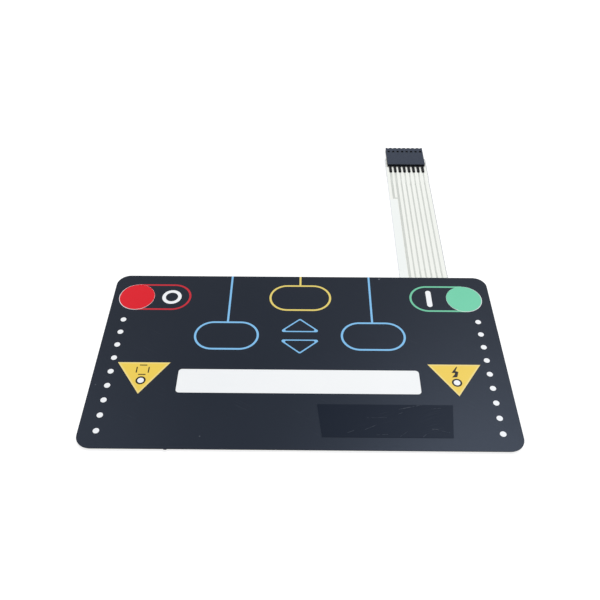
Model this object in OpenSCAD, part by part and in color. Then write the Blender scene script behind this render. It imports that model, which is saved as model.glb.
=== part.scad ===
// Membrane keypad: a laminated switch panel with a printed film face, and a flat film tail
// that ends in a crimped socket connector. Millimetres, +Z up out of the printed face,
// +Y towards the edge that the tail leaves, origin at the middle of the panel's back.

/* [Panel outline] */
// Width of the panel
panel_w = 172; // [168:1:200]
// Height of the panel, from its front edge to the edge that the tail leaves
panel_h = 95.5; // [92:0.5:120]
// Radius of the panel's corners
corner_r = 6; // [3:0.5:9]
// How far the inner layers stay inside the edge of the face film
layer_inset = 0.5; // [0.2:0.1:1.2]
// Width of the holding nib that the cutting die left on the front edge
nib_w = 1.2; // [0.6:0.1:2]
// How far that nib stands out
nib_out = 0.35; // [0.2:0.05:0.6]
// Place of that nib across the panel
nib_x = -51; // [-60:1:-40]

/* [Layer thicknesses] */
// Release liner under the rear adhesive
liner_t = 0.1; // [0.06:0.01:0.2]
// Rear adhesive
rear_adhesive_t = 0.13; // [0.05:0.01:0.25]
// Polyester circuit film, of which the tail is a part
circuit_t = 0.125; // [0.075:0.005:0.2]
// Printed silver tracks
silver_t = 0.02; // [0.01:0.005:0.04]
// Spacer round the domes
spacer_t = 0.35; // [0.25:0.01:0.5]
// Film that holds the domes down
retainer_t = 0.075; // [0.05:0.005:0.15]
// Adhesive under the face film
overlay_adhesive_t = 0.13; // [0.05:0.01:0.25]
// Clear face film
overlay_t = 0.18; // [0.12:0.01:0.3]
// Printed ink on the face
ink_t = 0.03; // [0.02:0.005:0.05]
// Black film patch on the face
patch_t = 0.08; // [0.04:0.01:0.15]

/* [Key legends] */
// Sideways shift of the print against the cut outline
print_shift = -0.5; // [-0.8:0.1:0.8]
// Distance of the rear key row from the rear edge
row_edge = 14.05; // [12:0.05:18]
// Distance between the rear and the middle key row
row_pitch = 23.35; // [21:0.05:26]
// Length of the outlined keys
pill_w = 28.2; // [24:0.1:30]
// Height of the outlined keys and of the start and stop keys
pill_h = 16.5; // [14:0.1:18]
// Width of the key outlines
line_w = 0.95; // [0.8:0.05:2]
// Width of the lead lines that run to the rear edge
lead_w = 0.9; // [0.8:0.05:2]
// Distance of the middle row's keys from the centre line
side_key_x = 31.9; // [30:0.1:36]
// Distance of the start and stop discs from the side edges
end_key_edge = 11.4; // [10.5:0.1:14]
// How far the start and stop discs stay inside their outlines
disc_gap = 0.3; // [0.25:0.05:1]
// Distance between the centres of the start and stop outlines' round ends
end_key_run = 16.5; // [15:0.1:20]
// Distance of the start and stop signs from their discs
sign_run = 15.9; // [14:0.1:17]
// Outer radius of the stop sign's ring
ring_r = 4.4; // [3:0.1:5]
// Width of the stop sign's ring
ring_line = 1.6; // [1:0.1:2.4]
// Width of the start sign's bar
bar_w = 2.4; // [1.5:0.1:3.5]
// Length of the start sign's bar
bar_h = 10.4; // [8:0.1:12]
// How far the white underprint shows past the start and stop discs
underprint = 0.15; // [0.15:0.05:0.25]
// Slip of that underprint against the discs
underprint_slip = 0.08; // [0:0.02:0.1]

/* [Arrows] */
// Width of an arrow before its corners are rounded
arrow_w = 18.4; // [15:0.1:20]
// Height of an arrow before its corners are rounded
arrow_h = 8.1; // [7:0.1:9.5]
// Radius of the arrows' corners
arrow_r = 0.8; // [0.3:0.05:1]
// Gap between the two arrows
arrow_gap = 4.4; // [3.5:0.1:6]
// Width of the arrow outlines
arrow_line = 0.65; // [0.5:0.05:1.2]

/* [Lamp signs and dots] */
// Distance of the lamp signs from the side edges
sign_edge = 21.1; // [20:0.1:21.5]
// Sideways shift of the lamp signs against the other print
sign_shift = -0.25; // [-0.5:0.05:0.5]
// Width of a lamp sign
sign_w = 22.1; // [18:0.1:23]
// Height of a lamp sign
sign_h = 16.5; // [15:0.1:18]
// Height of the signs' upper edge above the middle of the display window
sign_rise = 9.55; // [8:0.05:11]
// Distance of the lamp windows below the signs' upper edge
lamp_drop = 9.6; // [9:0.1:10.5]
// Radius of the lamp windows
lamp_r = 1.35; // [1:0.05:1.8]
// Width of the black ring round a lamp window
lamp_ring = 0.75; // [0.3:0.05:0.8]
// Distance of the middle of the marks below the signs' upper edge
mark_drop = 4; // [3.6:0.1:4.2]
// Height of the lightning mark
bolt_h = 5.7; // [4:0.1:6]
// Size of the dashed square
dash_square = 5.5; // [4:0.1:5.8]
// Length of its dashes
dash_l = 3.1; // [2:0.1:3.4]
// Thickness of its dashes
dash_t = 0.5; // [0.4:0.05:0.8]
// Radius of the white dots
dot_r = 1.25; // [1:0.05:1.8]
// Distance of the dots from the side edges
dot_edge = 7.4; // [5:0.1:8]
// Sideways shift of the dots against the other print
dot_shift = 0.25; // [-0.5:0.05:0.5]
// Distance of the first dot below the rear key row
dot_drop = 14.35; // [12:0.05:16]
// Distance between dots
dot_pitch = 7.4; // [6:0.1:7.8]
// Number of dots on each side
dot_count = 9; // [5:1:9]

/* [Display window and patch] */
// Sideways shift of the display window against the other print
window_shift = -0.3; // [-0.6:0.05:0.6]
// Width of the display window
window_w = 99.7; // [90:0.1:103]
// Height of the display window
window_h = 12.3; // [10:0.1:14]
// Radius of its corners
window_r = 1.5; // [0.5:0.1:3]
// Distance of the window's middle from the front edge
window_edge = 32.9; // [31:0.1:35]
// Gap between the printed window and the cut-outs of the layers below
cutout_gap = 0.8; // [0.3:0.1:1.2]
// Place of the black patch across the panel
patch_x = 33.75; // [20:0.05:40]
// Distance of the patch's middle from the front edge
patch_edge = 13.6; // [12:0.1:16]
// Width of the patch at its upper side
patch_top_w = 54.2; // [40:0.1:60]
// Width of the patch at its lower side
patch_bottom_w = 50.6; // [40:0.1:60]
// Height of the patch
patch_h = 15.6; // [10:0.1:18]

/* [Switches] */
// Diameter of the snap domes
dome_d = 8.4; // [6:0.1:9]
// Sheet thickness of the domes
dome_t = 0.07; // [0.04:0.01:0.1]
// Gap over a dome's crown
dome_gap = 0.02; // [0.01:0.01:0.05]
// Gap round a dome in the spacer's hole
dome_hole_gap = 0.3; // [0.1:0.05:0.5]
// Width of the vent channels between the dome holes
vent_w = 1; // [0.5:0.1:1.5]
// Radius of the centre contact under a dome
centre_pad_r = 1.2; // [0.8:0.1:1.6]
// Width of the ring contact under a dome's rim
ring_pad_w = 1.4; // [1:0.1:1.8]
// Width of the printed tracks inside the panel
track_w = 0.8; // [0.5:0.05:0.9]
// Distance between the tracks that run along the rear edge
bus_pitch = 1.2; // [1.1:0.05:1.3]
// Distance of the first of them from the inner layers' edge
bus_edge = 1.2; // [0.8:0.1:1.5]
// Distance of the common track from the inner layers' side edges
common_edge = 2.5; // [1.5:0.1:3]
// Height of the common track's cross run above the display window
common_rise = 4.2; // [3:0.1:5]
// Distance of the arrow keys' tracks from the centre line
arrow_track_x = 10; // [8:0.5:12]

/* [Tail] */
// Distance of the tail's middle from the panel's side edge
tail_edge = 28.4; // [27:0.1:36]
// Length of the tail from the panel's edge to the connector
tail_l = 90.65; // [75:0.05:140]
// Radius of the tail's bends
bend_r = 30; // [15:1:40]
// Straight run of the tail before its first bend
tail_lead = 1; // [0.5:0.1:3]
// Width of the tail's single tracks
tail_track_w = 0.8; // [0.6:0.05:1.1]
// Width of the joined common track
common_w = 1.25; // [1:0.05:1.6]
// Distance of the link between the first two tracks from the connector
link_run = 28.4; // [22:0.1:40]

/* [Connector] */
// Number of contacts
contact_count = 8; // [8:1:10]
// Distance between contacts
pitch = 2.54; // [2.5:0.01:2.6]
// Thickness of the housing's side walls past the last contact's share of the width
side_wall = 0.15; // [0.1:0.05:0.5]
// Length of the housing
housing_l = 16.3; // [15:0.1:20]
// Height of the housing
housing_h = 2.5; // [2.4:0.05:3]
// Chamfer on the housing's long edges
housing_chamfer = 0.2; // [0.1:0.05:0.3]
// Height of the film above the surface where it goes into the housing
film_lift = 0.7; // [0.55:0.05:0.9]
// How far the film reaches into the housing
film_in = 7.7; // [6:0.1:8.5]
// Play between the housing and what goes into it
play = 0.1; // [0.05:0.01:0.14]
// Thickness of the housing's mating wall
mating_wall = 0.9; // [0.8:0.05:1.2]
// Side of the square entry for a header pin
pin_entry = 0.9; // [0.8:0.05:1.1]
// Radius of the round lead-in of that entry
lead_in_r = 0.7; // [0.7:0.05:0.95]
// Radius of the scallops over the entries
scallop_r = 1; // [0.8:0.05:1.1]
// Depth of those scallops
scallop_d = 0.45; // [0.2:0.05:0.5]
// Distance of the latch windows from the mating face
latch_run = 4; // [3:0.1:5]

/* [Contacts] */
// Sheet thickness of a contact
contact_t = 0.2; // [0.15:0.01:0.22]
// Width of a contact's strip
strip_w = 1.4; // [1.2:0.05:1.5]
// Length of the crimp that shows in front of the housing
crimp_l = 5.8; // [5.6:0.1:9]
// Radius of the crimp's two rolls
crimp_r = 0.34; // [0.32:0.01:0.36]
// Width of a contact's box
box_w = 1.9; // [1.7:0.05:1.95]
// Height of a contact's box
box_h = 1.5; // [1.4:0.05:1.6]
// Gap between the film's end and a contact's box
box_gap = 0.4; // [0.2:0.05:0.8]
// Length of the spring leaf in a contact's box
leaf_l = 4; // [3.2:0.1:4.5]
// Distance of the leaf's knee, which presses on the pin, from the box's mouth
knee_run = 2.8; // [2:0.1:3]
// Gap under the spring leaf for the pin
leaf_gap = 0.5; // [0.4:0.05:0.55]
// Width of the locking lance
lance_w = 1; // [0.5:0.05:1.1]
// Length of the locking lance
lance_l = 1.4; // [1:0.1:1.8]
// Height of the locking lance
lance_h = 0.3; // [0.2:0.05:0.35]
// Length of a tine along the crimp
tine_l = 0.9; // [0.6:0.05:1.2]
// How far a tine is folded under the film
tine_fold = 0.3; // [0.15:0.05:0.35]
// Distance of the first pair of tines from the crimp's tip
tine_start = 1.8; // [1.5:0.1:2.2]
// Distance between the two pairs of tines
tine_pitch = 2.4; // [2:0.1:3]

/* [Hidden] */
$fn = 64;
// How far a cut runs past a face
over = 1;

// Heights of the layers above the surface that the keypad lies on
z_rear_adhesive = liner_t;
z_circuit = z_rear_adhesive + rear_adhesive_t;
z_silver = z_circuit + circuit_t;
z_spacer = z_silver + silver_t;
z_retainer = z_spacer + spacer_t;
z_overlay_adhesive = z_retainer + retainer_t;
z_overlay = z_overlay_adhesive + overlay_adhesive_t;
z_ink = z_overlay + overlay_t;
z_patch = z_ink + ink_t;

// Lines that the print and the switches share
rear_y = panel_h/2;
front_y = -panel_h/2;
row_y = rear_y - row_edge;
mid_y = row_y - row_pitch;
up_y = mid_y + (arrow_gap + arrow_h)/2;
down_y = mid_y - (arrow_gap + arrow_h)/2;
end_key_x = panel_w/2 - end_key_edge;
disc_r = pill_h/2 - disc_gap;
window_y = front_y + window_edge;
sign_x = panel_w/2 - sign_edge;
sign_middle = print_shift + sign_shift;
sign_top_y = window_y + sign_rise;
dot_x = panel_w/2 - dot_edge;
dot_middle = print_shift + dot_shift;

// Each key: its name, its place, and the side on which its track enters the ring contact
KEYS = [
    ["stop", -end_key_x, row_y, 90],
    ["start", end_key_x, row_y, 180],
    ["upper", 0, row_y, 90],
    ["left", -side_key_x, mid_y, 90],
    ["right", side_key_x, mid_y, 90],
    ["up", 0, up_y, 0],
    ["down", 0, down_y, 180],
];

// A dome is a cap of a sphere that stands on the middle of its ring contact
dome_rise = spacer_t - dome_gap;
dome_sphere_r = (pow(dome_d/2, 2) + dome_rise*dome_rise)/(2*dome_rise);
ring_pad_r = dome_d/2;
// Chords in a dome's section
dome_steps = 6;

// Runs of the tracks in the panel
inner_w = panel_w - 2*layer_inset;
inner_h = panel_h - 2*layer_inset;
common_x = inner_w/2 - common_edge;
common_y = window_y + window_h/2 + common_rise;
tail_x = panel_w/2 - tail_edge;
function bus_y(level) = inner_h/2 - bus_edge - level*bus_pitch;
function track_x(i) = tail_x + (i - (contact_count + 1)/2)*pitch;

// The tail's and the connector's lines across, along and above the surface
housing_y = rear_y + tail_l;
mating_y = housing_y + housing_l;
housing_w = contact_count*pitch + 2*side_wall;
tail_w = (contact_count + 1)*pitch;
film_end = housing_y + film_in;
strip_z = film_lift + circuit_t + silver_t;
crimp_y = housing_y - crimp_l;
box_y = film_end + box_gap;
box_end = mating_y - mating_wall - play;
axis_z = housing_h/2;
box_top = axis_z + box_h/2;
latch_y = mating_y - latch_run;
link_y = housing_y - link_run;

// The tail in side view: flat in the panel, down to the surface, then up to the connector
// Chords in a bend
bend_steps = 6;
// Straight run of the film in front of the crimps
crimp_lead = 1;
function bend_angle(rise) = acos(1 - abs(rise)/(2*bend_r));
function bend_run(rise) = 2*bend_r*sin(bend_angle(rise));
// Points of an S-shaped bend, each with its place, height and slope
function s_bend(y, z, rise) = let (a = bend_angle(rise), s = sign(rise)) concat(
    [for (i = [0:bend_steps]) let (t = a*i/bend_steps)
        [y + bend_r*sin(t), z + s*bend_r*(1 - cos(t)), s*t]],
    [for (i = [bend_steps - 1:-1:0]) let (t = a*i/bend_steps)
        [y + bend_run(rise) - bend_r*sin(t), z + rise - s*bend_r*(1 - cos(t)), s*t]]);
tail_line = concat(
    [[bus_y(0), z_circuit, 0]],
    s_bend(rear_y + tail_lead, z_circuit, -z_circuit),
    s_bend(crimp_y - crimp_lead - bend_run(film_lift), 0, film_lift),
    [[film_end, film_lift, 0]]);
// The same line, moved out by a distance from the film's lower face
function beside(line, d) = [for (p = line) [p[0] - d*sin(p[2]), p[1] + d*cos(p[2])]];
function reversed(list) = [for (i = [len(list) - 1:-1:0]) list[i]];

// Plain outlines
module rounded_rect(w, h, r) {
    square([w, h - 2*r], center = true);
    square([w - 2*r, h], center = true);
    for (x = [-1, 1], y = [-1, 1])
        translate([x*(w/2 - r), y*(h/2 - r)]) circle(r);
}

module pill(w, h) {
    square([w - h, h], center = true);
    for (x = [-1, 1])
        translate([x*(w - h)/2, 0]) circle(h/2);
}

module pill_outline(w, h) {
    difference() {
        pill(w, h);
        pill(w - 2*line_w, h - 2*line_w);
    }
}

// Chords in a rounded corner
corner_steps = 6;
// Points of the arc that rounds the corner p between its neighbours a and b
function corner_arc(a, p, b, r) = let (
    u = (a - p)/norm(a - p),
    v = (b - p)/norm(b - p),
    half = acos(u*v)/2,
    middle = p + (u + v)/norm(u + v)*r/sin(half),
    first = p + u*r/tan(half) - middle,
    last = p + v*r/tan(half) - middle,
    start = atan2(first[1], first[0]),
    turn = (atan2(last[1], last[0]) - start + 540) % 360 - 180)
    [for (i = [0:corner_steps]) let (t = start + turn*i/corner_steps) middle + r*[cos(t), sin(t)]];

module rounded_triangle(p, r) {
    polygon([for (i = [0:2]) each corner_arc(p[(i + 2) % 3], p[i], p[(i + 1) % 3], r)]);
}

// A line with square corners, along points that step in X or in Y
module trace(points, w) {
    for (i = [0:len(points) - 2]) {
        a = points[i];
        b = points[i + 1];
        translate([min(a[0], b[0]) - w/2, min(a[1], b[1]) - w/2])
            square([abs(a[0] - b[0]) + w, abs(a[1] - b[1]) + w]);
    }
}

module layer(z, t) {
    translate([0, 0, z]) linear_extrude(t) children();
}

module panel_outline() {
    rounded_rect(panel_w, panel_h, corner_r);
    translate([nib_x - nib_w/2, front_y - nib_out]) square([nib_w, 2*nib_out]);
}

module window_outline(gap) {
    translate([print_shift + window_shift, window_y])
        rounded_rect(window_w + 2*gap, window_h + 2*gap, window_r + gap);
}

module lamp_outline(r) {
    for (side = [-1, 1])
        translate([side*sign_x + sign_middle, sign_top_y - lamp_drop]) circle(r);
}

// An inner layer, open below the display window and the two lamps
module inner_outline() {
    difference() {
        rounded_rect(inner_w, inner_h, corner_r - layer_inset);
        window_outline(cutout_gap);
        lamp_outline(lamp_r + cutout_gap);
    }
}

// Backing
module release_liner() {
    color("#f2f0ea") layer(0, liner_t) rounded_rect(inner_w, inner_h, corner_r - layer_inset);
}

module rear_adhesive() {
    color("#d9d4c2") layer(z_rear_adhesive, rear_adhesive_t) inner_outline();
}

// Circuit film with its tail, and the silver printed on it
module tail_strip(x, w, low, high) {
    translate([x - w/2, 0, 0]) rotate([90, 0, 90]) linear_extrude(w)
        polygon(concat(beside(tail_line, low), reversed(beside(tail_line, high))));
}

// Places of a contact's tines, with their outer sides at the strip's edge and their feet turned inwards
module at_tines() {
    for (run = [0, tine_pitch], side = [0, 1])
        translate([0, crimp_y + tine_start + run, film_lift]) mirror([side, 0, 0])
            translate([strip_w/2, 0, 0]) children();
}

module tine_holes() {
    for (i = [1:contact_count])
        translate([track_x(i), 0, 0]) at_tines() translate([-contact_t/2, 0, 0])
            cube([contact_t + play, tine_l + play, over], center = true);
}

module circuit_film() {
    color("#eef1ee") difference() {
        union() {
            layer(z_circuit, circuit_t) inner_outline();
            tail_strip(tail_x, tail_w, 0, circuit_t);
        }
        tine_holes();
    }
}

// Centre and ring contact of a key, with a gap in the ring for the track to the centre
module key_contacts(gap_angle) {
    circle(centre_pad_r);
    difference() {
        circle(ring_pad_r + ring_pad_w/2);
        circle(ring_pad_r - ring_pad_w/2);
        rotate(gap_angle) translate([0, -track_w])
            square([ring_pad_r + ring_pad_w, 2*track_w]);
    }
}

// A track from the tail to the bus along the rear edge, and on along the given points
module tail_trace(i, level, points) {
    trace(concat([[track_x(i), bus_y(0)], [track_x(i), bus_y(level)]], points), track_w);
}

module panel_tracks() {
    for (key = KEYS)
        translate([key[1], key[2]]) key_contacts(key[3]);
    // the common track runs round the panel and branches to the ring contacts
    tail_trace(2, 0, [[-common_x, bus_y(0)], [-common_x, common_y], [common_x, common_y],
                      [common_x, row_y], [end_key_x + ring_pad_r, row_y]]);
    trace([[-common_x, row_y], [-end_key_x - ring_pad_r, row_y]], track_w);
    for (x = [-side_key_x, side_key_x])
        trace([[x, common_y], [x, mid_y - ring_pad_r]], track_w);
    trace([[0, common_y], [0, down_y - ring_pad_r]], track_w);
    trace([[0, down_y + ring_pad_r], [0, up_y - ring_pad_r]], track_w);
    // one track to each key's centre contact
    tail_trace(3, 1, [[-end_key_x, bus_y(1)], [-end_key_x, row_y]]);
    tail_trace(4, 2, [[-side_key_x, bus_y(2)], [-side_key_x, mid_y]]);
    tail_trace(5, 3, [[-arrow_track_x, bus_y(3)], [-arrow_track_x, down_y], [0, down_y]]);
    tail_trace(6, 4, [[arrow_track_x, bus_y(4)], [arrow_track_x, up_y], [0, up_y]]);
    tail_trace(7, 5, [[side_key_x, bus_y(5)], [side_key_x, mid_y]]);
    tail_trace(8, 5, [[track_x(8), row_y], [end_key_x, row_y]]);
    // the upper key lies between the two arrow keys' tracks
    trace([[0, bus_y(3)], [0, row_y]], track_w);
    trace([[arrow_track_x, row_y], [ring_pad_r, row_y]], track_w);
}

module tail_track(i, w) {
    tail_strip(track_x(i), w, circuit_t, circuit_t + silver_t);
}

module silver_tracks() {
    color("#b9bcb6") difference() {
        union() {
            layer(z_silver, silver_t) panel_tracks();
            tail_track(2, common_w);
            for (i = [3:contact_count])
                tail_track(i, tail_track_w);
            // the first track starts at its link to the second
            intersection() {
                tail_track(1, common_w);
                translate([track_x(1) - pitch/2, link_y, 0]) cube([pitch, tail_l, housing_h]);
            }
            translate([track_x(1) - common_w/2, link_y, circuit_t])
                cube([pitch + common_w/2, tail_track_w, silver_t]);
        }
        tine_holes();
    }
}

// Spacer, with a hole for each dome and channels that let the air move between them
module dome_spacer() {
    window_top = window_y + window_h/2;
    color("#cfd8dc") layer(z_spacer, spacer_t) difference() {
        inner_outline();
        for (key = KEYS)
            translate([key[1], key[2]]) circle(dome_d/2 + dome_hole_gap);
        for (x = [-side_key_x, side_key_x])
            trace([[x, window_top], [x, mid_y]], vent_w);
        trace([[0, window_top], [0, row_y]], vent_w);
        trace([[-end_key_x, row_y], [end_key_x, row_y]], vent_w);
    }
}

// Points of a dome's section on a sphere of radius r, from its crown to its foot
function dome_arc(r) = let (foot = acos((dome_sphere_r - dome_rise)/r))
    [for (i = [0:dome_steps]) let (a = foot*i/dome_steps)
        [r*sin(a), r*cos(a) - dome_sphere_r + dome_rise]];

module key_dome(key) {
    color("#c8cacc") translate([key[1], key[2], z_spacer]) rotate_extrude()
        polygon(concat(dome_arc(dome_sphere_r), reversed(dome_arc(dome_sphere_r - dome_t))));
}

module dome_retainer() {
    color("#dfe4e4") layer(z_retainer, retainer_t) inner_outline();
}

module overlay_adhesive() {
    color("#d9d4c2") layer(z_overlay_adhesive, overlay_adhesive_t) inner_outline();
}

// Clear face film, which closes the display window
module overlay_film() {
    color("#e8f0f6", 0.4) layer(z_overlay, overlay_t) panel_outline();
}

// Printed fields: each ink fills its own openings in the black ground
module key_disc(side) {
    translate([side*end_key_x + print_shift, row_y]) circle(disc_r);
}

// White underprint of a disc, which shows as a thin rim round it
module underprint_disc(side) {
    translate([side*(end_key_x + underprint_slip) + print_shift, row_y - underprint_slip])
        circle(disc_r + underprint);
}

// A disc with an outline that runs out of its upper and lower side
module end_key(side) {
    key_disc(side);
    difference() {
        translate([side*(end_key_x - end_key_run/2) + print_shift, row_y])
            pill_outline(end_key_run + pill_h, pill_h);
        underprint_disc(side);
        translate([side*(end_key_x + pill_h/2) + print_shift, row_y]) square(pill_h, center = true);
    }
}

// An outlined key with a lead line from its upper edge to the rear edge of the panel
module led_key(x, y) {
    lead_y = y + (pill_h - line_w)/2;
    translate([x + print_shift, y]) pill_outline(pill_w, pill_h);
    translate([x + print_shift - lead_w/2, lead_y]) square([lead_w, rear_y - lead_y]);
}

// An outlined triangle; its inner edge is its outer one, shrunk about the centre of its incircle
module arrow(y, direction) {
    side = norm([arrow_w/2, arrow_h]);
    incircle_r = arrow_w*arrow_h/(arrow_w + 2*side);
    centre = [0, incircle_r - arrow_h/2];
    corners = [[-arrow_w/2, -arrow_h/2], [arrow_w/2, -arrow_h/2], [0, arrow_h/2]];
    share = 1 - arrow_line/incircle_r;
    translate([print_shift, y]) rotate(direction == 1 ? 0 : 180) difference() {
        rounded_triangle(corners, arrow_r);
        rounded_triangle([for (p = corners) centre + (p - centre)*share], arrow_r*share);
    }
}

module lamp_sign(side) {
    translate([side*sign_x + sign_middle, sign_top_y])
        polygon([[-sign_w/2, 0], [sign_w/2, 0], [0, -sign_h]]);
}

// Lightning mark, drawn one unit high
module bolt_mark() {
    translate([sign_x + sign_middle, sign_top_y - mark_drop]) scale(bolt_h)
        polygon([[0.22, 0.5], [0.14, 0.5], [-0.28, -0.08], [-0.04, -0.08], [-0.04, -0.18],
                 [-0.3, -0.5], [0.09, -0.47], [0.24, 0.02], [0.03, 0.1]]);
}

module dash_mark() {
    translate([-sign_x + sign_middle, sign_top_y - mark_drop])
        for (a = [0:90:270])
            rotate(a) translate([0, (dash_square - dash_t)/2])
                square([dash_l, dash_t], center = true);
}

module black_marks() {
    bolt_mark();
    dash_mark();
    lamp_outline(lamp_r + lamp_ring);
}

module blue_fields() {
    for (side = [-1, 1])
        led_key(side*side_key_x, mid_y);
    arrow(up_y, 1);
    arrow(down_y, -1);
}

module yellow_fields() {
    led_key(0, row_y);
    for (side = [-1, 1])
        lamp_sign(side);
}

module white_fields() {
    for (side = [-1, 1], i = [0:dot_count - 1])
        translate([side*dot_x + dot_middle, row_y - dot_drop - i*dot_pitch]) circle(dot_r);
    translate([sign_run - end_key_x + print_shift, row_y]) difference() {
        circle(ring_r);
        circle(ring_r - ring_line);
    }
    translate([end_key_x - sign_run + print_shift, row_y]) rotate(90) pill(bar_h, bar_w);
}

module black_ink() {
    color("#2b2f38") layer(z_ink, ink_t) {
        difference() {
            panel_outline();
            window_outline(0);
            for (side = [-1, 1]) {
                end_key(side);
                underprint_disc(side);
            }
            blue_fields();
            yellow_fields();
            white_fields();
        }
        difference() {
            black_marks();
            lamp_outline(lamp_r);
        }
    }
}

module red_ink() {
    color("#e02b36") layer(z_ink, ink_t) end_key(-1);
}

module green_ink() {
    color("#78d6ab") layer(z_ink, ink_t) end_key(1);
}

module blue_ink() {
    color("#82bdea") layer(z_ink, ink_t) blue_fields();
}

module yellow_ink() {
    color("#f0d15c") layer(z_ink, ink_t) difference() {
        yellow_fields();
        black_marks();
    }
}

module white_ink() {
    color("#f6f8fb") layer(z_ink, ink_t) {
        white_fields();
        lamp_outline(lamp_r);
        for (side = [-1, 1])
            difference() {
                underprint_disc(side);
                key_disc(side);
            }
    }
}

// Strip of black film stuck on the face
module cover_patch() {
    color("#262b36") translate([patch_x, front_y + patch_edge, 0]) layer(z_patch, patch_t)
        polygon([[-patch_top_w/2, patch_h/2], [patch_top_w/2, patch_h/2],
                 [patch_bottom_w/2, -patch_h/2], [-patch_bottom_w/2, -patch_h/2]]);
}

// Socket housing: a slot for the film at its front, and a cavity for each contact
module housing_body() {
    c = housing_chamfer;
    translate([tail_x - housing_w/2, housing_y, 0]) rotate([90, 0, 90]) linear_extrude(housing_w)
        polygon([[c, 0], [housing_l - c, 0], [housing_l, c], [housing_l, housing_h - c],
                 [housing_l - c, housing_h], [c, housing_h], [0, housing_h - c], [0, c]]);
}

module film_slot() {
    low = film_lift - play;
    translate([tail_x - tail_w/2, housing_y - over, low])
        cube([tail_w, box_y - housing_y + over, strip_z + contact_t + play - low]);
}

module contact_cavity() {
    w = box_w + 2*play;
    h = box_h + 2*play;
    translate([-w/2, box_y - play, axis_z - h/2]) cube([w, box_end - box_y + 2*play, h]);
    // entry for the pin, with a round lead-in and a scallop over it
    translate([-pin_entry/2, box_end, axis_z - pin_entry/2])
        cube([pin_entry, mating_wall + over, pin_entry]);
    translate([0, mating_y, axis_z]) rotate([90, 0, 0])
        cylinder(r1 = lead_in_r, r2 = pin_entry/2, h = mating_wall/2);
    translate([0, mating_y + over, housing_h + scallop_r - scallop_d]) rotate([90, 0, 0])
        cylinder(r = scallop_r, h = mating_wall + over - play);
    // latch window for the lance
    translate([-lance_w/2 - play, latch_y - lance_l/2 - play, axis_z])
        cube([lance_w + 2*play, lance_l + 2*play, housing_h]);
}

module connector_housing() {
    color("#3f444f") difference() {
        housing_body();
        film_slot();
        for (i = [1:contact_count])
            translate([track_x(i), 0, 0]) contact_cavity();
    }
}

// A profile in side view, extruded across a width about the contact's middle
module across(w) {
    translate([-w/2, 0, 0]) rotate([90, 0, 90]) linear_extrude(w) children();
}

// Box that grips the header pin, with a spring leaf inside and a locking lance on top
module contact_box() {
    low = axis_z - box_h/2;
    difference() {
        translate([-box_w/2, box_y, low]) cube([box_w, box_end - box_y, box_h]);
        translate([-box_w/2 + contact_t, box_y + contact_t, low + contact_t])
            cube([box_w - 2*contact_t, box_end - box_y, box_h - 2*contact_t]);
    }
    leaf_z = low + contact_t + leaf_gap;
    leaf_y = box_end - knee_run;
    across(box_w - 2*contact_t - 2*play)
        polygon([[box_end, box_top - contact_t], [leaf_y, leaf_z], [box_end - leaf_l, leaf_z + contact_t],
                 [box_end - leaf_l, leaf_z + 2*contact_t], [leaf_y, leaf_z + contact_t],
                 [box_end - contact_t, box_top - contact_t/2], [box_end, box_top - contact_t/2]]);
    across(lance_w)
        polygon([[latch_y + lance_l/2, box_top - contact_t], [latch_y + lance_l/2, box_top],
                 [latch_y - lance_l/2, box_top + lance_h], [latch_y - lance_l/2, box_top - contact_t]]);
}

// Strip with a round tip on the film, two rolls on it, and tines through the film and under it
module contact_crimp() {
    tip_y = crimp_y + strip_w/2;
    translate([0, 0, strip_z]) linear_extrude(contact_t) {
        translate([-strip_w/2, tip_y]) square([strip_w, box_y + contact_t - tip_y]);
        translate([0, tip_y]) circle(strip_w/2);
    }
    for (side = [-1, 1])
        translate([side*(strip_w/2 - crimp_r), tip_y, strip_z + contact_t/2 + crimp_r])
            rotate([-90, 0, 0]) cylinder(r = crimp_r, h = housing_y - play - tip_y);
    at_tines() {
        translate([-contact_t, -tine_l/2, -contact_t])
            cube([contact_t, tine_l, strip_z + 2*contact_t - film_lift]);
        translate([-contact_t - tine_fold, -tine_l/2, -contact_t])
            cube([contact_t + tine_fold, tine_l, contact_t]);
    }
}

module contact(i) {
    color("#1b1c1f") translate([track_x(i), 0, 0]) {
        contact_box();
        contact_crimp();
    }
}

release_liner();
rear_adhesive();
circuit_film();
silver_tracks();
dome_spacer();
for (key = KEYS)
    key_dome(key);
dome_retainer();
overlay_adhesive();
overlay_film();
black_ink();
red_ink();
green_ink();
blue_ink();
yellow_ink();
white_ink();
cover_patch();
connector_housing();
for (i = [1:contact_count])
    contact(i);
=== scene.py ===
import math

import bmesh
import bpy
from mathutils import Matrix, Vector


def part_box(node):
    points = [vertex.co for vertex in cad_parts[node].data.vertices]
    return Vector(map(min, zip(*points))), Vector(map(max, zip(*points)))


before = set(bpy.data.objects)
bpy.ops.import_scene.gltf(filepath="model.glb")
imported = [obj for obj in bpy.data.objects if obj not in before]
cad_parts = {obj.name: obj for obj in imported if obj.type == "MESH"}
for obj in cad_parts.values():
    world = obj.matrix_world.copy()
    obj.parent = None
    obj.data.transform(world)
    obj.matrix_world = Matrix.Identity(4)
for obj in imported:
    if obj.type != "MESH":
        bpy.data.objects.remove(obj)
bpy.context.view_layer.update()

# Release liner
# A sheet of smooth white siliconised paper that covers the rear adhesive until the keypad is fitted.
# A little of it shows, a millimetre down, through the frosted film of the display window.
MM = 0.001


def set_inputs(node, inputs):
    """Link each input of a shader node to a socket, or set it to a value."""
    for name, value in inputs.items():
        socket = node.inputs[name]
        if isinstance(value, bpy.types.NodeSocket):
            node.id_data.links.new(value, socket)
        else:
            socket.default_value = value


def add_node(tree, kind, inputs, **properties):
    """Add a shader node with these properties and inputs, and return its outputs."""
    node = tree.nodes.new(kind)
    for name, value in properties.items():
        setattr(node, name, value)
    set_inputs(node, inputs)
    return node.outputs


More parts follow.
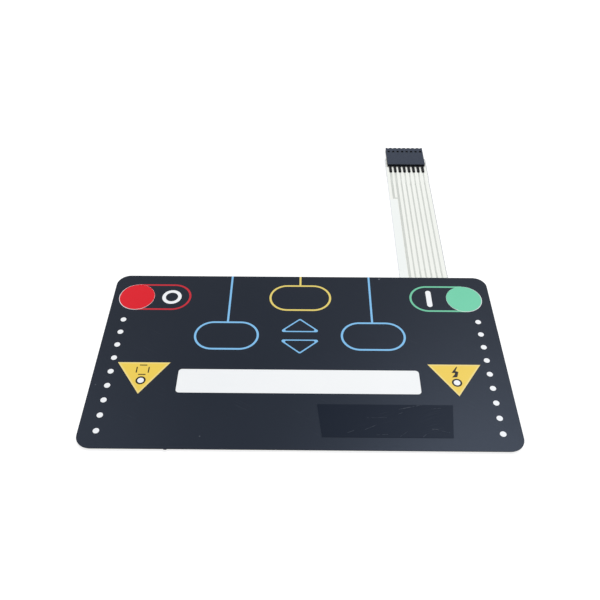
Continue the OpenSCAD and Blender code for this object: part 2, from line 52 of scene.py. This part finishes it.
def new_finish(name):
    """A new material, with its tree, its Principled shader and its Object coordinates."""
    material = bpy.data.materials.new(name)
    material.use_nodes = True
    tree = material.node_tree
    where = add_node(tree, "ShaderNodeTexCoord", {})["Object"]
    return material, tree, tree.nodes["Principled BSDF"], where


def shade(red, green, blue):
    """A colour as a screen shows it, from 0 to 255, in the linear values that shaders take."""
    parts = [value/255 for value in (red, green, blue)]
    return [p/12.92 if p < 0.04045 else ((p + 0.055)/1.055)**2.4 for p in parts] + [1.0]


def blend_shades(tree, share, low, high):
    """A colour between two shades, or sockets, by a mask from 0 to 1."""
    mix = tree.nodes.new("ShaderNodeMix")
    mix.data_type = "RGBA"
    # For colours, this node's factor is its input 0, and the two colours are its inputs 6 and 7
    set_inputs(mix, {0: share, 6: low, 7: high})
    return mix.outputs[2]


def between(tree, value, low, high):
    """A value that runs from low to high as another runs from 0 to 1."""
    return add_node(tree, "ShaderNodeMapRange", {"Value": value, "To Min": low, "To Max": high})["Result"]


def noise(tree, where, waves, detail):
    """A noise from 0 to 1, with so many waves to the metre and finer ones on them."""
    return add_node(tree, "ShaderNodeTexNoise", {"Vector": where, "Scale": waves, "Detail": detail})["Fac"]


def streaks(tree, where, waves, detail):
    """A noise from 0 to 1 that has its own number of waves to the metre along each axis."""
    stretched = add_node(tree, "ShaderNodeMapping", {"Vector": where, "Scale": waves})["Vector"]
    return noise(tree, stretched, 1.0, detail)


def relief(tree, height, strength, depth):
    """The normal of a fine relief, so many metres deep."""
    inputs = {"Height": height, "Strength": strength, "Distance": depth}
    return add_node(tree, "ShaderNodeBump", inputs)["Normal"]


def dress(material, *names):
    """Give these pieces of the keypad a finish."""
    for name in names:
        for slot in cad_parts[name].material_slots:
            slot.material = material


PAPER_SHADES = (shade(246, 249, 252), shade(251, 252, 254))
FIBRE_SHADE = shade(232, 236, 240)
FIBRE_STRENGTH = 0.25
liner_paper, tree, shader, where = new_finish("liner_paper")
fibres = streaks(tree, where, waves=(900, 2600, 900), detail=4.0)
paper = blend_shades(tree, noise(tree, where, waves=55.0, detail=2.0), *PAPER_SHADES)
set_inputs(shader, {
    "Base Color": blend_shades(tree, between(tree, fibres, 0.0, FIBRE_STRENGTH), paper, FIBRE_SHADE),
    "Roughness": between(tree, fibres, 0.38, 0.55),
    "Normal": relief(tree, fibres, strength=0.2, depth=0.01*MM),
})
dress(liner_paper, "release_liner")

# Rear and face adhesive
# Two sheets of clear acrylic transfer adhesive, slightly yellow, with the fine bubbles of a hand lay-up.
# One holds the keypad to its box, the other holds the face film to the dome film.
ADHESIVE_SHADES = (shade(236, 235, 228), shade(244, 243, 237))
BUBBLE_WAVES = 700.0
adhesive, tree, shader, where = new_finish("adhesive")
bubbles = add_node(tree, "ShaderNodeTexVoronoi", {"Vector": where, "Scale": BUBBLE_WAVES})["Distance"]
set_inputs(shader, {
    "Base Color": blend_shades(tree, noise(tree, where, waves=120.0, detail=3.0), *ADHESIVE_SHADES),
    "Roughness": between(tree, bubbles, 0.2, 0.4),
    "Normal": relief(tree, bubbles, strength=0.3, depth=0.02*MM),
})
dress(adhesive, "rear_adhesive", "overlay_adhesive")

# Circuit film and its tail
# One die-cut sheet of milky heat-stabilised polyester, which runs on out of the panel as the flat tail.
# Clear lacquer covers the tail's tracks, and leaves a bare stripe along its left side.


def new_group(name, inputs, outputs):
    """A shader node group with these sockets, its input sockets and its output node."""
    tree = bpy.data.node_groups.new(name, "ShaderNodeTree")
    for label, kind in inputs.items():
        tree.interface.new_socket(label, in_out="INPUT", socket_type="NodeSocket" + kind)
    for label, kind in outputs.items():
        tree.interface.new_socket(label, in_out="OUTPUT", socket_type="NodeSocket" + kind)
    return tree, tree.nodes.new("NodeGroupInput").outputs, tree.nodes.new("NodeGroupOutput")


def calculate(tree, operation, *values):
    """The result of a Math node on these values or sockets."""
    return add_node(tree, "ShaderNodeMath", dict(enumerate(values)), operation=operation)["Value"]


film_texture, given, made = new_group(
    "film_texture", {"Vector": "Vector", "Grain Waves": "Float"}, {"Grain": "Float", "Clouds": "Float"})
set_inputs(made, {
    "Grain": noise(film_texture, given["Vector"], waves=given["Grain Waves"], detail=3.0),
    "Clouds": noise(film_texture, given["Vector"], waves=38.0, detail=3.0),
})


def film_look(tree, where, grain_waves):
    """The fine grain and the broad clouds of a plastic film."""
    inputs = {"Vector": where, "Grain Waves": grain_waves}
    return add_node(tree, "ShaderNodeGroup", inputs, node_tree=film_texture)


BARE_SHADES = (shade(244, 248, 245), shade(249, 252, 249))
COATED_SHADES = (shade(244, 246, 239), shade(251, 252, 246))
LEFT_EDGE_PAINTED_SHADE = shade(228, 231, 235)
RIGHT_EDGE_PAINTED_SHADE = shade(184, 186, 191)
# Half the tail's width, and the width of the strip along each of its edges that is painted darker as shade
TAIL_HALF = 11.43*MM
SHADED_EDGE_W = 0.3*MM
# The bare stripe's right edge, from the tail's middle, and its rear end, from the connector
STRIPE_EDGE = -7.3*MM
STRIPE_END = 29.2*MM
housing_low, housing_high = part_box("connector_housing")
tail_middle = (housing_low.x + housing_high.x)/2
panel_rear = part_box("overlay_film")[1].y
circuit_polyester, tree, shader, where = new_finish("circuit_polyester")
texture = film_look(tree, where, grain_waves=2400.0)
place = add_node(tree, "ShaderNodeSeparateXYZ", {"Vector": where})
across = calculate(tree, "SUBTRACT", place["X"], tail_middle)
lacquer = calculate(tree, "MAXIMUM", calculate(tree, "GREATER_THAN", across, STRIPE_EDGE),
                    calculate(tree, "GREATER_THAN", place["Y"], housing_low.y - STRIPE_END))
bare = blend_shades(tree, texture["Clouds"], *BARE_SHADES)
coated = blend_shades(tree, texture["Clouds"], *COATED_SHADES)
near_side = calculate(tree, "GREATER_THAN", calculate(tree, "ABSOLUTE", across), TAIL_HALF - SHADED_EDGE_W)
on_tail = calculate(tree, "GREATER_THAN", place["Y"], panel_rear)
right_half = calculate(tree, "GREATER_THAN", across, 0.0)
# Painted shade along the tail's edges, much darker on the right side than on the left
painted_edge_shade = blend_shades(tree, right_half, LEFT_EDGE_PAINTED_SHADE, RIGHT_EDGE_PAINTED_SHADE)
set_inputs(shader, {
    "Base Color": blend_shades(tree, calculate(tree, "MULTIPLY", near_side, on_tail),
                               blend_shades(tree, lacquer, bare, coated), painted_edge_shade),
    "Roughness": between(tree, texture["Grain"], 0.25, 0.42),
    "Specular IOR Level": 0.2,
    "Normal": relief(tree, texture["Grain"], strength=0.15, depth=0.01*MM),
})
dress(circuit_polyester, "circuit_film")

# Silver tracks
# Conductive silver ink, screen printed on the circuit film and dried to a pale grey.
# Mesh marks and tiny flakes give it a fine grain.
SILVER_SHADES = (shade(172, 176, 169), shade(194, 197, 190))
FLAKE_SHADE = shade(228, 230, 226)
FLAKE_STRENGTH = 0.5
silver_print, tree, shader, where = new_finish("silver_print")
flakes = noise(tree, where, waves=5200.0, detail=2.0)
dried = blend_shades(tree, noise(tree, where, waves=420.0, detail=2.0), *SILVER_SHADES)
set_inputs(shader, {
    "Base Color": blend_shades(tree, between(tree, flakes, 0.0, FLAKE_STRENGTH), dried, FLAKE_SHADE),
    "Roughness": between(tree, flakes, 0.35, 0.6),
    "Metallic": 0.1,
    "Normal": relief(tree, flakes, strength=0.25, depth=0.01*MM),
})
dress(silver_print, "silver_tracks")

# Spacer and dome film
# Two sheets of milky polyester, die-cut with the same outline, that hold the snap domes in place.
# Only their cut edges show, at the rim of the panel and round the display window.


def milky_film(name, thin, thick):
    """Milky polyester between two shades."""
    material, tree, shader, where = new_finish(name)
    texture = film_look(tree, where, grain_waves=1800.0)
    set_inputs(shader, {
        "Base Color": blend_shades(tree, texture["Clouds"], thin, thick),
        "Roughness": between(tree, texture["Grain"], 0.3, 0.5),
        "Normal": relief(tree, texture["Grain"], strength=0.2, depth=0.01*MM),
    })
    return material


dress(milky_film("spacer_polyester", shade(240, 246, 249), shade(247, 250, 252)), "dome_spacer")
dress(milky_film("retainer_polyester", shade(240, 244, 245), shade(247, 249, 250)), "dome_retainer")

# Snap domes
# Seven caps of spring steel, stamped from thin rolled strip, one under each key.
# The rolling left fine lines along one direction.
KEYS = ("stop", "start", "upper", "left", "right", "up", "down")
STEEL_SHADES = (shade(196, 198, 201), shade(222, 223, 225))
dome_steel, tree, shader, where = new_finish("dome_steel")
roll_lines = streaks(tree, where, waves=(150, 9000, 150), detail=3.0)
set_inputs(shader, {
    "Base Color": blend_shades(tree, roll_lines, *STEEL_SHADES),
    "Roughness": between(tree, roll_lines, 0.22, 0.4),
    "Metallic": 1.0,
    "Normal": relief(tree, roll_lines, strength=0.2, depth=0.005*MM),
})
dress(dome_steel, *[key + "_dome" for key in KEYS])

# Face film
# Frosted polyester with a fine matte texture, die-cut to the panel's outline, unprinted at the window.
# It lets a little light through to the liner and scatters the rest; its cut edge takes the print's dark.
FROST_SHADES = (shade(251, 253, 255), shade(254, 255, 255))
CUT_EDGE_SHADE = shade(40, 43, 50)
# The least and the most that the frosted film hides of what lies behind it
FROST_COVER = (0.95, 0.98)
# Faces whose normal rises by less than this count as upright
UPRIGHT_RISE = 0.5


def upright_faces(tree):
    """A mask that is 1 on faces that stand upright, such as the cut edges of a flat sheet."""
    facing = add_node(tree, "ShaderNodeNewGeometry", {})["Normal"]
    up = add_node(tree, "ShaderNodeSeparateXYZ", {"Vector": facing})["Z"]
    return calculate(tree, "LESS_THAN", calculate(tree, "ABSOLUTE", up), UPRIGHT_RISE)


overlay_polyester, tree, shader, where = new_finish("overlay_polyester")
texture = film_look(tree, where, grain_waves=3000.0)
cut_edge = upright_faces(tree)
frosted = blend_shades(tree, texture["Clouds"], *FROST_SHADES)
cover = between(tree, texture["Clouds"], *FROST_COVER)
set_inputs(shader, {
    "Base Color": blend_shades(tree, cut_edge, frosted, CUT_EDGE_SHADE),
    "Roughness": between(tree, texture["Grain"], 0.35, 0.5),
    "Specular IOR Level": 0.2,
    "Alpha": calculate(tree, "MAXIMUM", cover, cut_edge),
    "Normal": relief(tree, texture["Grain"], strength=0.2, depth=0.01*MM),
})
dress(overlay_polyester, "overlay_film")

# Printed fields
# Screen-printed inks of the face: the black ground, and red, green, blue, yellow and white in its openings.
# All lie under the same fine matte texture, and handling has left a few specks and faint rub marks.

# Cool tint of the sheen that matte films and plastics show
SHEEN_TINT = (0.62, 0.75, 1.0, 1.0)


def ink_finish(name, thin, thick):
    """Screen-printed ink between two shades, under the matte texture of the face film."""
    material, tree, shader, where = new_finish(name)
    texture = film_look(tree, where, grain_waves=3000.0)
    body = blend_shades(tree, texture["Clouds"], thin, thick)
    set_inputs(shader, {
        "Base Color": body,
        "Roughness": between(tree, texture["Grain"], 0.26, 0.36),
        "Specular IOR Level": 0.15,
        "Specular Tint": SHEEN_TINT,
        "Normal": relief(tree, texture["Grain"], strength=0.2, depth=0.01*MM),
    })
    return material, tree, shader, where, body


dress(ink_finish("blue_ink", shade(130, 192, 238), shade(140, 200, 244))[0], "blue_ink")
dress(ink_finish("white_ink", shade(247, 249, 252), shade(252, 253, 254))[0], "white_ink")

round_mark, given, made = new_group(
    "round_mark", {"Vector": "Vector", "Place": "Vector", "Radius": "Float", "Core": "Float"},
    {"Mask": "Float"})
away = add_node(round_mark, "ShaderNodeVectorMath", {0: given["Vector"], 1: given["Place"]},
                operation="DISTANCE")["Value"]
faded = add_node(round_mark, "ShaderNodeMapRange", {
    "Value": calculate(round_mark, "DIVIDE", away, given["Radius"]),
    "From Min": given["Core"], "From Max": 1.0, "To Min": 1.0, "To Max": 0.0,
}, interpolation_type="SMOOTHSTEP")["Result"]
set_inputs(made, {"Mask": faded})


def round_mask(tree, where, place, radius, core):
    """A round mark on the face, full within its core's share of the radius."""
    inputs = {"Vector": where, "Place": place, "Radius": radius, "Core": core}
    return add_node(tree, "ShaderNodeGroup", inputs, node_tree=round_mark)["Mask"]


# The outlines of the end keys are printed thinner than their discs, so the ground dulls them.
# A disc is the outer end of its key and stays a gap inside the outline; its mask reaches just past its rim.
DISC_GAP = 0.3*MM
DISC_REACH = 1.01
DISC_CORE = 0.99
face_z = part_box("black_ink")[1].z
for name, thin, thick, dulled in (
        ("red_ink", shade(222, 27, 38), shade(229, 33, 44), shade(202, 44, 56)),
        ("green_ink", shade(118, 209, 171), shade(126, 217, 179), shade(118, 203, 165))):
    low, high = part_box(name)
    disc_r = (high.y - low.y)/2 - DISC_GAP
    disc_x = low.x + disc_r if low.x < 0.0 else high.x - disc_r
    disc_place = (disc_x, (low.y + high.y)/2, face_z)
    material, tree, shader, where, body = ink_finish(name, thin, thick)
    disc = round_mask(tree, where, disc_place, disc_r*DISC_REACH, DISC_CORE)
    set_inputs(shader, {"Base Color": blend_shades(tree, disc, dulled, body)})
    dress(material, name)

# Yellow lies on white, which pales it along the edges of the lamp signs and on the thin upper key.
# Half the width and the height of a sign, its pale rim, and the reach of the upper key from the middle
SIGN_HALF = 11.05*MM
SIGN_HEIGHT = 16.5*MM
SIGN_RIM = 1.0*MM
UPPER_KEY_REACH = 20.0*MM
RIM_SHADE = shade(250, 236, 176)
RIM_STRENGTH = 0.6
UPPER_KEY_SHADE = shade(235, 213, 116)
low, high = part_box("yellow_ink")
sign_middle = (low.x + high.x)/2
sign_x = (high.x - low.x)/2 - SIGN_HALF
sign_top = low.y + SIGN_HEIGHT
slant_reach = SIGN_HALF*SIGN_HEIGHT/math.hypot(SIGN_HALF, SIGN_HEIGHT)
yellow_ink, tree, shader, where, body = ink_finish("yellow_ink", shade(243, 208, 82), shade(249, 216, 94))
place = add_node(tree, "ShaderNodeSeparateXYZ", {"Vector": where})
aside = calculate(tree, "ABSOLUTE", calculate(tree, "SUBTRACT", place["X"], sign_middle))
off_axis = calculate(tree, "ABSOLUTE", calculate(tree, "SUBTRACT", aside, sign_x))
below = calculate(tree, "SUBTRACT", sign_top, place["Y"])
taken = calculate(tree, "ADD", calculate(tree, "DIVIDE", off_axis, SIGN_HALF),
                  calculate(tree, "DIVIDE", below, SIGN_HEIGHT))
from_slant = calculate(tree, "MULTIPLY", calculate(tree, "SUBTRACT", 1.0, taken), slant_reach)
inside = calculate(tree, "MINIMUM", below, from_slant)
rim = add_node(tree, "ShaderNodeMapRange",
               {"Value": inside, "From Max": SIGN_RIM, "To Min": RIM_STRENGTH, "To Max": 0.0})["Result"]
sign = blend_shades(tree, rim, body, RIM_SHADE)
in_middle = calculate(tree, "LESS_THAN", aside, UPPER_KEY_REACH)
set_inputs(shader, {"Base Color": blend_shades(tree, in_middle, sign, UPPER_KEY_SHADE)})
dress(yellow_ink, "yellow_ink")


def ramp(tree, value, low, high):
    """A mask that runs from 0 to 1 as a value runs from low to high."""
    return add_node(tree, "ShaderNodeMapRange", {"Value": value, "From Min": low, "From Max": high})["Result"]


HAIRLINE_WAVES = (60, 2400, 60)
CREST_TOP = 0.8
WORN_RANGE = (0.5, 0.68)
hairlines, given, made = new_group(
    "hairlines", {"Vector": "Vector", "Turn": "Vector", "Fineness": "Float"}, {"Mask": "Float"})
turned = add_node(hairlines, "ShaderNodeVectorRotate",
                  {"Vector": given["Vector"], "Rotation": given["Turn"]}, rotation_type="EULER_XYZ")["Vector"]
lines = streaks(hairlines, turned, HAIRLINE_WAVES, detail=1.0)
worn = ramp(hairlines, noise(hairlines, given["Vector"], waves=110.0, detail=2.0), *WORN_RANGE)
crests = ramp(hairlines, lines, given["Fineness"], CREST_TOP)
set_inputs(made, {"Mask": calculate(hairlines, "MULTIPLY", crests, worn)})


def rub_marks(tree, where, turn, fineness):
    """Patches of fine hairlines, all turned by the same angle about Z."""
    inputs = {"Vector": where, "Turn": (0.0, 0.0, turn), "Fineness": fineness}
    return add_node(tree, "ShaderNodeGroup", inputs, node_tree=hairlines)["Mask"]


# The marks on the lamp signs are printed over yellow, which warms their black.
# Each mark: how far its middle lies below the sign's upper edge, and its reach
SIGN_MARKS = [(4.0*MM, 3.7*MM), (9.6*MM, 3.5*MM)]
MARK_CORE = 0.95
MARK_SHADE = shade(34, 26, 0)
# Each speck on the ground: its place on the face and its radius, in millimetres, and its strength
SPECKS = [(36.3, 46.5, 0.45, 0.34), (-83.7, -17.3, 0.4, 0.08), (-38.5, -42.0, 0.4, 0.08)]
SPECK_CORE = 0.4
SPECK_SHADE = shade(205, 212, 222)
RUBBED_SHADE = shade(120, 126, 136)
GROUND_RUB = 0.06
black_ink, tree, shader, where, body = ink_finish("black_ink", shade(23, 28, 37), shade(27, 32, 42))
rubbed = rub_marks(tree, where, turn=0.5, fineness=0.62)
ground = blend_shades(tree, between(tree, rubbed, 0.0, GROUND_RUB), body, RUBBED_SHADE)
on_yellow = 0.0
for side in (-1, 1):
    for drop, reach in SIGN_MARKS:
        mark_place = (sign_middle + side*sign_x, sign_top - drop, face_z)
        mark = round_mask(tree, where, mark_place, reach, MARK_CORE)
        on_yellow = calculate(tree, "MAXIMUM", on_yellow, mark)
specks = 0.0
for x, y, radius, strength in SPECKS:
    speck = round_mask(tree, where, (x*MM, y*MM, face_z), radius*MM, SPECK_CORE)
    specks = calculate(tree, "MAXIMUM", specks, calculate(tree, "MULTIPLY", speck, strength))
printed = blend_shades(tree, on_yellow, ground, MARK_SHADE)
set_inputs(shader, {"Base Color": blend_shades(tree, specks, printed, SPECK_SHADE)})
dress(black_ink, "black_ink")

# Cover patch
# A strip of smooth black film, cut by hand and stuck on the face near its front edge.
# Its surface is rubbed, with short scratches across it.
BREAK_RANGE = (0.35, 0.55)
scratch_mark, given, made = new_group(
    "scratch_mark", {"Vector": "Vector", "Start": "Vector", "Run": "Vector", "Width": "Float"},
    {"Mask": "Float"})


def vector_step(operation, one, two):
    """The outputs of a Vector Math node inside the scratch group."""
    return add_node(scratch_mark, "ShaderNodeVectorMath", {0: one, 1: two}, operation=operation)


offset = vector_step("SUBTRACT", given["Vector"], given["Start"])["Vector"]
along = vector_step("DOT_PRODUCT", offset, given["Run"])["Value"]
run_square = vector_step("DOT_PRODUCT", given["Run"], given["Run"])["Value"]
part = add_node(scratch_mark, "ShaderNodeMath", {0: along, 1: run_square},
                operation="DIVIDE", use_clamp=True)["Value"]
foot = add_node(scratch_mark, "ShaderNodeVectorMath", {0: given["Run"], "Scale": part},
                operation="SCALE")["Vector"]
away = vector_step("DISTANCE", offset, foot)["Value"]
line = between(scratch_mark, calculate(scratch_mark, "DIVIDE", away, given["Width"]), 1.0, 0.0)
breaks = noise(scratch_mark, given["Vector"], waves=900.0, detail=1.0)
broken = ramp(scratch_mark, breaks, *BREAK_RANGE)
set_inputs(made, {"Mask": calculate(scratch_mark, "MULTIPLY", line, broken)})

PATCH_SHADES = (shade(22, 28, 39), shade(26, 32, 44))
SCRATCH_SHADE = shade(150, 156, 166)
SCRATCH_STRENGTH = 0.17
PATCH_RUB = 0.2
# Each scratch: its start from the patch's left lower corner, its run, and its half width, in millimetres
SCRATCHES = [
    (32.6, 13.4, 9.0, 2.2, 0.26),
    (32.0, 11.0, 1.8, 0.8, 0.12),
    (18.7, 3.7, 4.4, 2.1, 0.17),
    (11.7, 2.1, 2.6, 1.1, 0.13),
    (23.0, 1.2, 4.3, 0.3, 0.11),
    (40.8, 0.5, 1.2, 1.0, 0.2),
    (44.7, 4.0, 1.9, 0.0, 0.3),
    (46.4, 3.9, 4.8, -1.5, 0.14),
    (31.9, 0.4, 3.0, 2.5, 0.08),
    (19.6, 9.2, 7.8, 0.1, 0.08),
    (45.4, 13.7, 4.0, 0.4, 0.1),
]
patch_low, patch_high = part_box("cover_patch")
patch_film, tree, shader, where = new_finish("patch_film")
texture = film_look(tree, where, grain_waves=700.0)
scratches = 0.0
for x, y, run_x, run_y, width in SCRATCHES:
    scratch = add_node(tree, "ShaderNodeGroup", {
        "Vector": where,
        "Start": (patch_low.x + x*MM, patch_low.y + y*MM, patch_high.z),
        "Run": (run_x*MM, run_y*MM, 0.0),
        "Width": width*MM,
    }, node_tree=scratch_mark)["Mask"]
    scratches = calculate(tree, "MAXIMUM", scratches, scratch)
rubbed = rub_marks(tree, where, turn=-0.3, fineness=0.55)
marks = calculate(tree, "MAXIMUM", scratches, between(tree, rubbed, 0.0, PATCH_RUB))
body = blend_shades(tree, texture["Clouds"], *PATCH_SHADES)
set_inputs(shader, {
    "Base Color": blend_shades(tree, between(tree, marks, 0.0, SCRATCH_STRENGTH), body, SCRATCH_SHADE),
    "Roughness": between(tree, marks, 0.3, 0.5),
    "Specular IOR Level": 0.06,
    "Specular Tint": SHEEN_TINT,
    "Normal": relief(tree, texture["Grain"], strength=0.1, depth=0.02*MM),
})
dress(patch_film, "cover_patch")

# Crimped contacts
# Eight contacts stamped from one strip, rolled on to the tail's tracks, with tines folded under the film.
# Their dark finish is dull, and a little rubbed where the crimping tool pressed.
CONTACT_COUNT = 8
CONTACT_SHADES = (shade(13, 14, 17), shade(27, 29, 33))
contact_metal, tree, shader, where = new_finish("contact_metal")
wear = noise(tree, where, waves=900.0, detail=3.0)
set_inputs(shader, {
    "Base Color": blend_shades(tree, wear, *CONTACT_SHADES),
    "Roughness": between(tree, wear, 0.4, 0.6),
    "Specular IOR Level": 0.2,
    "Normal": relief(tree, wear, strength=0.3, depth=0.02*MM),
})
dress(contact_metal, *["contact_%d" % (number + 1) for number in range(CONTACT_COUNT)])

# Connector housing
# One moulding of black glass-filled plastic, with a cavity for each contact and a spark-eroded matte skin.
# Its upright faces are painted darker as shade; its chamfers are rubbed a little paler.
HOUSING_SHADES = (shade(43, 49, 61), shade(50, 56, 69))
UPRIGHT_PAINTED_SHADE = shade(20, 22, 27)
housing_plastic, tree, shader, where = new_finish("housing_plastic")
skin = noise(tree, where, waves=2600.0, detail=3.0)
moulded = blend_shades(tree, noise(tree, where, waves=160.0, detail=2.0), *HOUSING_SHADES)
# Painted shade: upright faces get a darker colour than the top
upright_shaded = blend_shades(tree, upright_faces(tree), moulded, UPRIGHT_PAINTED_SHADE)
facing = add_node(tree, "ShaderNodeNewGeometry", {})["Normal"]
lean = add_node(tree, "ShaderNodeVectorMath", {0: facing}, operation="ABSOLUTE")["Vector"]
lean_parts = add_node(tree, "ShaderNodeSeparateXYZ", {"Vector": lean})
chamfers = calculate(tree, "MULTIPLY", lean_parts["Y"], lean_parts["Z"])
rubbed = calculate(tree, "MULTIPLY", chamfers, skin)
set_inputs(shader, {
    "Base Color": blend_shades(tree, rubbed, upright_shaded, RUBBED_SHADE),
    "Roughness": between(tree, skin, 0.45, 0.65),
    "Specular IOR Level": 0.2,
    "Specular Tint": SHEEN_TINT,
    "Normal": relief(tree, skin, strength=0.3, depth=0.02*MM),
})
dress(housing_plastic, "connector_housing")

# Table, light and camera
# A plain white table in an even room, with two broad lamps high behind the keypad.
# The camera stands in front of the panel and looks down on it at 45 degrees.
scene = bpy.context.scene
scene.view_settings.view_transform = "Standard"

FLOOR_SPAN = 1.2
floor_mesh = bpy.data.meshes.new("table_top")
sheet = bmesh.new()
bmesh.ops.create_grid(sheet, x_segments=1, y_segments=1, size=FLOOR_SPAN/2)
sheet.to_mesh(floor_mesh)
sheet.free()
table_top = bpy.data.objects.new("table_top", floor_mesh)
scene.collection.objects.link(table_top)


def seen_directly(tree):
    """A mask that is 1 for what the camera sees, also through clear film and in a sheen."""
    path = add_node(tree, "ShaderNodeLightPath", {})
    mirrored = calculate(tree, "MAXIMUM", path["Is Glossy Ray"], path["Is Transmission Ray"])
    return calculate(tree, "MAXIMUM", path["Is Camera Ray"], mirrored)


# The table is lifted to white where it is seen, and keeps the keypad's shadow
WHITE = (1.0, 1.0, 1.0, 1.0)
TABLE_GREY = (0.37, 0.37, 0.37, 1.0)
TABLE_LIFT = 0.8
table_white = bpy.data.materials.new("table_white")
table_white.use_nodes = True
tree = table_white.node_tree
tree.nodes.remove(tree.nodes["Principled BSDF"])
matt = add_node(tree, "ShaderNodeBsdfDiffuse", {"Color": TABLE_GREY})["BSDF"]
lift = between(tree, seen_directly(tree), 0.0, TABLE_LIFT)
glow = add_node(tree, "ShaderNodeEmission", {"Color": WHITE, "Strength": lift})["Emission"]
both = add_node(tree, "ShaderNodeAddShader", {0: matt, 1: glow})["Shader"]
set_inputs(tree.nodes["Material Output"], {"Surface": both})
floor_mesh.materials.append(table_white)

# The room is white where it is seen, and lights the keypad less than that
ROOM_LIGHT = 0.28
room = bpy.data.worlds.new("room")
room.use_nodes = True
scene.world = room
tree = room.node_tree
set_inputs(tree.nodes["Background"], {
    "Color": WHITE,
    "Strength": between(tree, seen_directly(tree), ROOM_LIGHT, 1.0),
})

# Each lamp: its place and its side in metres, and its power in watts
LAMPS = {
    "right_lamp": ((0.72, 0.9, 2.3), 1.2, 45.0),
    "left_lamp": ((-1.1, 1.3, 2.4), 1.0, 10.0),
}
LAMP_COLOUR = (0.965, 0.975, 0.99)
for name, (lamp_place, side, power) in LAMPS.items():
    lamp_data = bpy.data.lights.new(name, "AREA")
    lamp_data.shape = "SQUARE"
    lamp_data.size = side
    lamp_data.energy = power
    lamp_data.color = LAMP_COLOUR
    lamp = bpy.data.objects.new(name, lamp_data)
    aim = Vector(lamp_place).to_track_quat("Z", "Y").to_matrix().to_4x4()
    lamp.matrix_world = Matrix.Translation(lamp_place) @ aim
    scene.collection.objects.link(lamp)

# The camera's place, its lean from straight down, and its small turn and roll, in degrees
CAMERA_PLACE = (1.351*MM, -202.737*MM, 236.65*MM)
CAMERA_LEAN = 44.947
CAMERA_TURN = 0.481
CAMERA_ROLL = 0.074
# Its focal length and the width of its sensor, in millimetres, and the nearest distance that it sees
CAMERA_LENS = 43.81
SENSOR_W = 36.0
NEAREST = 10.0*MM
camera_data = bpy.data.cameras.new("front_view")
camera_data.sensor_width = SENSOR_W
camera_data.lens = CAMERA_LENS
camera_data.clip_start = NEAREST
camera = bpy.data.objects.new("front_view", camera_data)
camera.matrix_world = (
    Matrix.Translation(CAMERA_PLACE)
    @ Matrix.Rotation(math.radians(CAMERA_TURN), 4, "Z")
    @ Matrix.Rotation(math.radians(CAMERA_LEAN), 4, "X")
    @ Matrix.Rotation(math.radians(CAMERA_ROLL), 4, "Z"))
scene.collection.objects.link(camera)
scene.camera = camera
